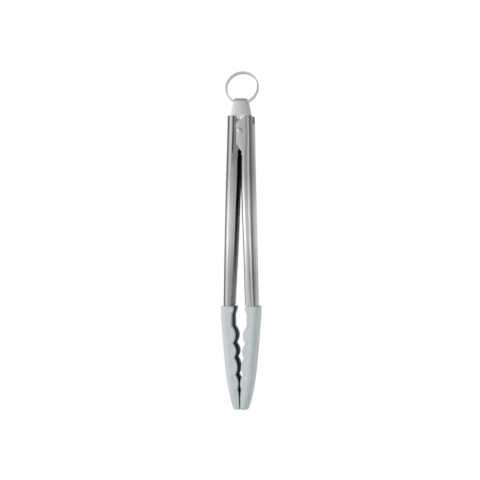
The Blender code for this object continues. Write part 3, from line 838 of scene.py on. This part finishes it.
def slot_cutter():
    """A round ended bar along Y, which cuts the slot in both legs of the tab."""
    outline = arc(0, SLOT_TOP - SLOT_HALF_WIDTH, SLOT_HALF_WIDTH, 180, 0, 20)
    outline += arc(0, SLOT_BOTTOM + SLOT_HALF_WIDTH, SLOT_HALF_WIDTH, 0, -180, 20)
    bm = bmesh.new()
    loops = add_loops(bm, [[(x, y, z) for x, z in outline] for y in (-SLOT_CUT_REACH, SLOT_CUT_REACH)])
    skin_loops(bm, loops)
    bm.faces.new(loops[0])
    bm.faces.new(loops[1])
    return bm


def make_tab():
    """One folded strap, with a slot in each leg and a less metallic copy of its steel on its inner side:
    painted light in the strap's shaded inside.
    """
    sections = []
    for y, z, a in tab_path():
        width = tab_half_width(z)
        inner = (y - SHEET * math.cos(a), z - SHEET * math.sin(a))
        sections.append([(-width, y, z), (width, y, z), (width, *inner), (-width, *inner)])
    bm = bmesh.new()
    loops = add_loops(bm, sections)
    skin_loops(bm, loops)
    bm.faces.new(loops[0])
    bm.faces.new(loops[-1])
    bm.faces.ensure_lookup_table()
    for row in range(len(sections) - 1):
        bm.faces[4 * row + 2].material_index = 1
    tab = finished(bm, "pull_tab_strap", "pull_tab", TAB_STEEL, "pull_tab", 30.0)
    tab.data.materials.append(TAB_INSIDE)
    combine(tab, slot_cutter(), "DIFFERENCE")
    soften_edges(tab, TAB_EDGE_ROUND, 3)


def make_ring():
    """A flat band with round edges and a faint crown, closed into a ring, leaning as it does on a hook."""
    low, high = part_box("hang_ring")
    centre = ((low + high) / 2 - PIN) / MM
    half_thickness = RING_THICKNESS / 2
    half_width = RING_WIDTH / 2
    mean = RING_OUTER_RADIUS - half_thickness
    section = []
    for out, side, start in ((1, 1, 0), (-1, 1, 90), (-1, -1, 180), (1, -1, 270)):
        corner = (mean + out * (half_thickness - RING_CORNER), side * (half_width - RING_CORNER))
        section += arc(*corner, RING_CORNER, start, start + 90, 4)
    lean = Matrix.Rotation(-RING_LEAN, 4, "X")
    sections = []
    for i in range(RING_SECTIONS):
        a = 2 * math.pi * i / RING_SECTIONS
        points = []
        for r, y in section:
            swell = RING_CROWN * (1 - (y / half_width) ** 2)
            radius = r + swell if r > mean else r - swell
            points.append(centre + lean @ Vector((radius * math.cos(a), y, radius * math.sin(a))))
        sections.append(points)
    bm = bmesh.new()
    skin_loops(bm, add_loops(bm, sections), closed=True)
    finished(bm, "hang_ring_band", "hang_ring", RING_STEEL, "hang_ring", 60.0)


# Stage

FLOOR_RADIUS = 0.36
FLOOR_HEIGHT = -0.42
CAMERA_AZIMUTH = math.radians(12.0)
CAMERA_DISTANCE = 1.098
# How far the point that the camera looks at is to the right of the pin, and above it.
CAMERA_RIGHT = -0.0011
CAMERA_UP = -0.0897
# The same for the point that the lights face.
LIGHTS_UP = -0.09

# Brightness by azimuth in degrees, 0 on the viewer's side and growing towards +X.
PANELS = [(-180, 0.6), (-150, 0.5), (-122, 0.27), (-96, 0.25), (-80, 0.6), (-62, 1.2), (-45, 1.5),
          (-26, 1.1), (-12, 0.78), (0, 0.52), (12, 0.42), (25, 0.55), (38, 1.1), (48, 0.8), (58, 0.14),
          (80, 0.14), (94, 0.42), (128, 0.5), (155, 0.65), (180, 0.6)]
PANEL_PEAK = 1.5
# The share of that at each height, from straight down (-1) to straight up (1).
HEIGHT_SHARES = [(-1, 0.6), (-0.35, 0.85), (0, 1.0), (0.25, 0.95), (0.5, 0.5), (1, 0.55)]


def area_light(name, azimuth, elevation, distance, width, height, power, target):
    """A soft box that faces the target, and that steel doesn't mirror. Azimuths are as in PANELS."""
    light = bpy.data.lights.new(name, "AREA")
    light.shape = "RECTANGLE"
    light.size = width
    light.size_y = height
    light.energy = power
    obj = bpy.data.objects.new(name, light)
    a = math.radians(azimuth)
    e = math.radians(elevation)
    away = Vector((math.sin(a) * math.cos(e), -math.cos(a) * math.cos(e), math.sin(e)))
    obj.location = target + away * distance
    obj.rotation_euler = (-away).to_track_quat("-Z", "Y").to_euler()
    obj.visible_glossy = False
    bpy.context.scene.collection.objects.link(obj)


def studio_world():
    """Soft panels round the object: brightness by azimuth, times a share by height. The camera sees white."""
    world = bpy.data.worlds.new("studio")
    bpy.context.scene.world = world
    world.use_nodes = True
    nodes = world.node_tree.nodes
    links = world.node_tree.links

    def math_node(operation, first, second):
        node = nodes.new("ShaderNodeMath")
        node.operation = operation
        for value, node_input in ((first, node.inputs[0]), (second, node.inputs[1])):
            if isinstance(value, (int, float)):
                node_input.default_value = value
            else:
                links.new(value, node_input)
        return node.outputs["Value"]

    def ramp(fac, stops):
        node = nodes.new("ShaderNodeValToRGB")
        node.color_ramp.interpolation = "EASE"
        while len(node.color_ramp.elements) < len(stops):
            node.color_ramp.elements.new(0.5)
        for element, (position, value) in zip(node.color_ramp.elements, stops):
            element.position = position
            element.color = (value, value, value, 1.0)
        links.new(fac, node.inputs["Fac"])
        return node.outputs["Color"]

    split = nodes.new("ShaderNodeSeparateXYZ")
    links.new(nodes.new("ShaderNodeTexCoord").outputs["Generated"], split.inputs["Vector"])
    turned = math_node("ARCTAN2", split.outputs["X"], math_node("MULTIPLY", split.outputs["Y"], -1.0))
    around = math_node("MULTIPLY_ADD", turned, 0.5 / math.pi)
    around.node.inputs[2].default_value = 0.5
    up = math_node("MULTIPLY_ADD", split.outputs["Z"], 0.5)
    up.node.inputs[2].default_value = 0.5
    panels = ramp(around, [((azimuth + 180) / 360, value / PANEL_PEAK) for azimuth, value in PANELS])
    heights = ramp(up, [((height + 1) / 2, value) for height, value in HEIGHT_SHARES])
    light = math_node("MULTIPLY", panels, heights)
    fill = nodes["Background"]
    fill.inputs["Color"].default_value = (1.0, 0.997, 0.99, 1.0)
    links.new(math_node("MULTIPLY", light, PANEL_PEAK), fill.inputs["Strength"])
    seen = nodes.new("ShaderNodeBackground")
    seen.inputs["Color"].default_value = (1.0, 1.0, 1.0, 1.0)
    mix = nodes.new("ShaderNodeMixShader")
    links.new(nodes.new("ShaderNodeLightPath").outputs["Is Camera Ray"], mix.inputs["Fac"])
    links.new(fill.outputs["Background"], mix.inputs[1])
    links.new(seen.outputs["Background"], mix.inputs[2])
    links.new(mix.outputs["Shader"], nodes["World Output"].inputs["Surface"])


def make_lights():
    middle = PIN + Vector((0, 0, LIGHTS_UP))
    area_light("key_box", -40, 12, 0.9, 0.5, 0.9, 6.1, middle)
    area_light("fill_box", 84, 5, 0.9, 0.6, 0.9, 4.0, middle)
    area_light("back_box", 172, 15, 1.0, 0.8, 0.9, 4.5, middle)


def make_floor():
    """A plain pale disc below the tongs, which hang clear of it."""
    bm = bmesh.new()
    bmesh.ops.create_circle(bm, cap_ends=True, segments=96, radius=FLOOR_RADIUS)
    mesh = bpy.data.meshes.new("floor")
    bm.to_mesh(mesh)
    bm.free()
    shader = Shader("floor", (0.9, 0.9, 0.895), 0.7)
    shader.tint(shader.noise((30,) * 3), (0.895, 0.895, 0.89), (0.91, 0.91, 0.905))
    mesh.materials.append(shader.material)
    floor = bpy.data.objects.new("floor", mesh)
    floor.location = (0, PIN.y, FLOOR_HEIGHT)
    bpy.context.scene.collection.objects.link(floor)


def make_camera():
    """A long lens at the height of the arms, turned 12 degrees towards the right arm."""
    right = Vector((math.cos(CAMERA_AZIMUTH), math.sin(CAMERA_AZIMUTH), 0))
    target = PIN + Vector((0, 0, CAMERA_UP)) + right * CAMERA_RIGHT
    lens = bpy.data.cameras.new("camera")
    lens.lens = 100
    lens.sensor_width = 36
    camera = bpy.data.objects.new("camera", lens)
    away = Vector((math.sin(CAMERA_AZIMUTH), -math.cos(CAMERA_AZIMUTH), 0))
    camera.location = target + away * CAMERA_DISTANCE
    camera.rotation_euler = (-away).to_track_quat("-Z", "Y").to_euler()
    bpy.context.scene.collection.objects.link(camera)
    bpy.context.scene.camera = camera


def finish_node(name, finish):
    """Gives a CAD node that no piece replaces its finish."""
    NODES[name].data.materials.clear()
    NODES[name].data.materials.append(finish)


def main():
    make_camera()
    studio_world()
    make_lights()
    make_floor()
    make_arm("right_arm", 1, (RIGHT_BACK, RIGHT_EDGE, RIGHT_BEND, RIGHT_TUCK))
    make_arm("left_arm", -1, (LEFT_BACK, LEFT_EDGE, LEFT_BEND, LEFT_TUCK))
    make_sleeve("right_scalloped_head", 1)
    make_sleeve("left_scalloped_head", -1)
    make_pin()
    make_spring()
    make_tab()
    make_ring()
    for side in ("right", "left"):
        finish_node(side + "_head_core", NYLON)
        finish_node(side + "_head_rivet", RIVET_STEEL)
    bpy.context.scene.view_settings.view_transform = "Standard"


main()
